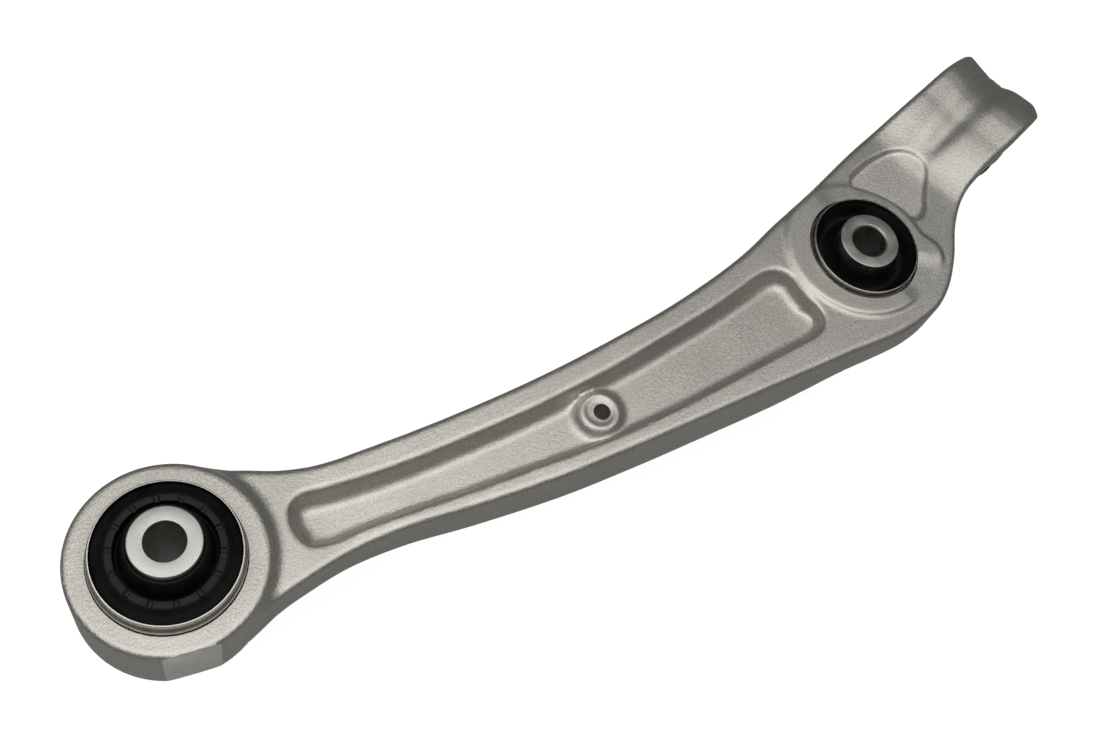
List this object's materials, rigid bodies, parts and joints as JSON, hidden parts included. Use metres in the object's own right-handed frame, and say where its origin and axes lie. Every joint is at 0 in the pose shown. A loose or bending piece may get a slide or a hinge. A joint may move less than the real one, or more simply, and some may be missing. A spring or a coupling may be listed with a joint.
{
  "type": "front lower control arm",
  "caption": "Forged aluminium suspension control arm with a large inner bush, a strut fork bush and a ball joint at its tip.",
  "frame": {"origin": "the centre of the whole part's box, since its natural reference, the inner bush's axis, is a hole; the inner bush's axis crosses the bushes' mid-plane at x -0.16725, y -0.01183, z 0.01655", "axes": "+X from the inner bush's axis to the strut bush's axis, +Z along both bush axes, away from the ball pin; the tip bends to +Y"},
  "size_m": [0.3944, 0.0918, 0.086],
  "materials": {
    "forged_aluminium": "shot-blasted forging, warm grey, satin with fine grain",
    "zinc_plated_steel": "thin zinc plating, bright at the rims",
    "machined_steel": "turned faces, fine rings, light oil film",
    "stud_steel": "ground steel with a rolled thread",
    "black_rubber": "moulded natural rubber, dull black",
    "acetal": "moulded acetal, off-white"
  },
  "bodies": {
    "arm": {"arm_forging": "forged_aluminium", "inner_bush_outer_sleeve": "zinc_plated_steel", "inner_bush_rubber": "black_rubber", "strut_bush_outer_sleeve": "zinc_plated_steel", "strut_bush_rubber": "black_rubber", "ball_seat": "acetal", "closing_ring": "zinc_plated_steel", "boot_clamp_ring": "zinc_plated_steel"},
    "inner_pivot": {"inner_bush_inner_sleeve": "machined_steel"},
    "strut_pivot": {"strut_bush_inner_sleeve": "machined_steel"},
    "boot_middle": {"dust_boot": "black_rubber"},
    "boot_neck": {"boot_neck_ring": "zinc_plated_steel"},
    "stud": {"ball_stud": "stud_steel"}
  },
  "joints": [
    {"name": "inner_bush_torsion", "type": "hinge", "parent": "arm", "child": "inner_pivot", "pos_m": [-0.16725, -0.01183, 0.01655], "axis": [0, 0, 1], "range_deg": [-20, 20]},
    {"name": "strut_bush_torsion", "type": "hinge", "parent": "arm", "child": "strut_pivot", "pos_m": [0.09275, -0.01183, 0.01655], "axis": [0, 0, 1], "range_deg": [-15, 15]},
    {"name": "ball_swing_x", "type": "hinge", "parent": "arm", "child": "boot_middle", "pos_m": [0.17635, 0.02507, 0.01705], "axis": [1, 0, 0], "range_deg": [-14, 14], "deforming": ["dust_boot"]},
    {"name": "ball_swing_y", "type": "hinge", "parent": "boot_middle", "child": "boot_neck", "pos_m": [0.17635, 0.02507, 0.01705], "axis": [0, 1, 0], "range_deg": [-14, 14]},
    {"name": "ball_spin", "type": "hinge", "parent": "boot_neck", "child": "stud", "pos_m": [0.17635, 0.02507, 0.01705], "axis": [0, 0, 1], "continuous": true}
  ]
}
